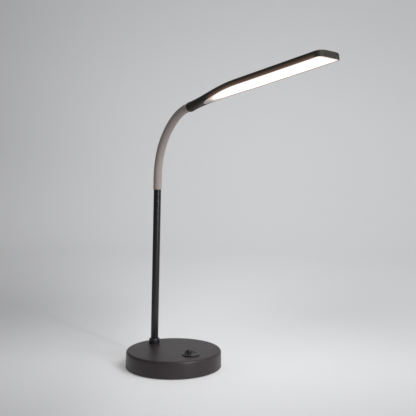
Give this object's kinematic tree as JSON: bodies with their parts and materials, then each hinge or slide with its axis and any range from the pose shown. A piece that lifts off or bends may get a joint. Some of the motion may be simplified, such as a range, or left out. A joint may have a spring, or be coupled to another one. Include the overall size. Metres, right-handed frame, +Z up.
{
  "type": "gooseneck desk lamp",
  "caption": "Slim desk lamp: weighted round base with a rocker switch, upright tube, sleeved bendable neck and a flat head with a glowing panel.",
  "frame": {"origin": "middle of the foot pad's lower face, on the table", "axes": "+X from the upright tube towards the head's tip, +Y to the lamp's left, +Z up; the lamp's outside is symmetric about the XZ plane"},
  "size_m": [0.3177, 0.125, 0.3859],
  "materials": {
    "charcoal_plastic": "satin moulded",
    "ballast_steel": "plain rolled",
    "black_plastic": "fine textured",
    "foot_rubber": "matte foam",
    "screw_steel": "zinc plated",
    "bush_plastic": "satin",
    "terminal_plastic": "satin",
    "circuit_board": "solder mask",
    "component_plastic": "moulded",
    "wire_jacket": "smooth",
    "black_tube": "satin powder coat",
    "collar_plastic": "satin",
    "lead_jacket": "smooth",
    "core_steel": "wound wire",
    "grey_sleeve": "matte silicone",
    "switch_plastic": "satin",
    "contact_brass": "plain",
    "rocker_plastic": "satin",
    "head_plastic": "fine textured",
    "spreader_aluminium": "plain",
    "board_aluminium": "white solder mask",
    "chip_plastic": "phosphor",
    "diffuser_plastic": "opal"
  },
  "bodies": {
    "base": {"base_cover": "charcoal_plastic", "ballast_plate": "ballast_steel", "bottom_plate": "black_plastic", "foot_pad": "foot_rubber", "base_screws": "screw_steel", "cable_bush": "bush_plastic", "terminal_block": "terminal_plastic", "driver_board": "circuit_board", "driver_parts": "component_plastic", "base_leads": "wire_jacket", "pole": "black_tube", "pole_collar": "collar_plastic", "pole_washer": "screw_steel", "pole_nut": "screw_steel", "pole_lead": "lead_jacket", "core_foot": "core_steel", "sleeve_foot": "grey_sleeve", "switch_housing": "switch_plastic", "switch_contacts": "contact_brass"},
    "rocker": {"switch_rocker": "rocker_plastic"},
    "neck_1": {"core_link_1": "core_steel", "sleeve_link_1": "grey_sleeve", "lead_link_1": "lead_jacket"},
    "neck_2": {"core_link_2": "core_steel", "sleeve_link_2": "grey_sleeve", "lead_link_2": "lead_jacket"},
    "neck_3": {"core_link_3": "core_steel", "sleeve_link_3": "grey_sleeve", "lead_link_3": "lead_jacket"},
    "neck_4": {"core_link_4": "core_steel", "sleeve_link_4": "grey_sleeve", "lead_link_4": "lead_jacket"},
    "neck_5": {"core_link_5": "core_steel", "sleeve_link_5": "grey_sleeve", "lead_link_5": "lead_jacket"},
    "neck_6": {"core_link_6": "core_steel", "sleeve_link_6": "grey_sleeve", "lead_link_6": "lead_jacket"},
    "neck_7": {"core_link_7": "core_steel", "sleeve_link_7": "grey_sleeve", "lead_link_7": "lead_jacket"},
    "neck_8": {"core_link_8": "core_steel", "sleeve_link_8": "grey_sleeve", "lead_link_8": "lead_jacket"},
    "head": {"core_top": "core_steel", "sleeve_top": "grey_sleeve", "head_lead": "lead_jacket", "head_shell": "head_plastic", "heat_spreader": "spreader_aluminium", "light_board": "board_aluminium", "light_chips": "chip_plastic", "board_screws": "screw_steel", "diffuser": "diffuser_plastic"}
  },
  "joints": [
    {"name": "neck_tilt_1", "type": "hinge", "parent": "base", "child": "neck_1", "pos_m": [-0.043, 0, 0.237], "axis": [0, 1, 0], "range_deg": [-30, 18]},
    {"name": "neck_swing_1", "type": "hinge", "parent": "neck_1", "child": "neck_2", "pos_m": [-0.043, 0, 0.2525], "axis": [0.9945, 0, -0.1045], "range_deg": [-24, 24]},
    {"name": "neck_tilt_2", "type": "hinge", "parent": "neck_2", "child": "neck_3", "pos_m": [-0.04138, 0, 0.26792], "axis": [0, 1, 0], "range_deg": [-38, 10]},
    {"name": "neck_swing_2", "type": "hinge", "parent": "neck_3", "child": "neck_4", "pos_m": [-0.03763, 0, 0.28296], "axis": [0.9135, 0, -0.4067], "range_deg": [-24, 24]},
    {"name": "neck_tilt_3", "type": "hinge", "parent": "neck_4", "child": "neck_5", "pos_m": [-0.03133, 0, 0.29712], "axis": [0, 1, 0], "range_deg": [-39, 9]},
    {"name": "neck_swing_3", "type": "hinge", "parent": "neck_5", "child": "neck_6", "pos_m": [-0.02288, 0, 0.31011], "axis": [0.7431, 0, -0.6691], "range_deg": [-24, 24]},
    {"name": "neck_tilt_4", "type": "hinge", "parent": "neck_6", "child": "neck_7", "pos_m": [-0.01251, 0, 0.32163], "axis": [0, 1, 0], "range_deg": [-39, 9]},
    {"name": "neck_swing_4", "type": "hinge", "parent": "neck_7", "child": "neck_8", "pos_m": [-0.00047, 0, 0.33139], "axis": [0.4384, 0, -0.8988], "range_deg": [-24, 24]},
    {"name": "head_tilt", "type": "hinge", "parent": "neck_8", "child": "head", "pos_m": [0.01346, 0, 0.33818], "axis": [0, 1, 0], "range_deg": [-47, 1]},
    {"name": "rocker_tip", "type": "hinge", "parent": "base", "child": "rocker", "pos_m": [0.035, 0, 0.0223], "axis": [0, -1, 0], "range_deg": [0, 18]}
  ]
}
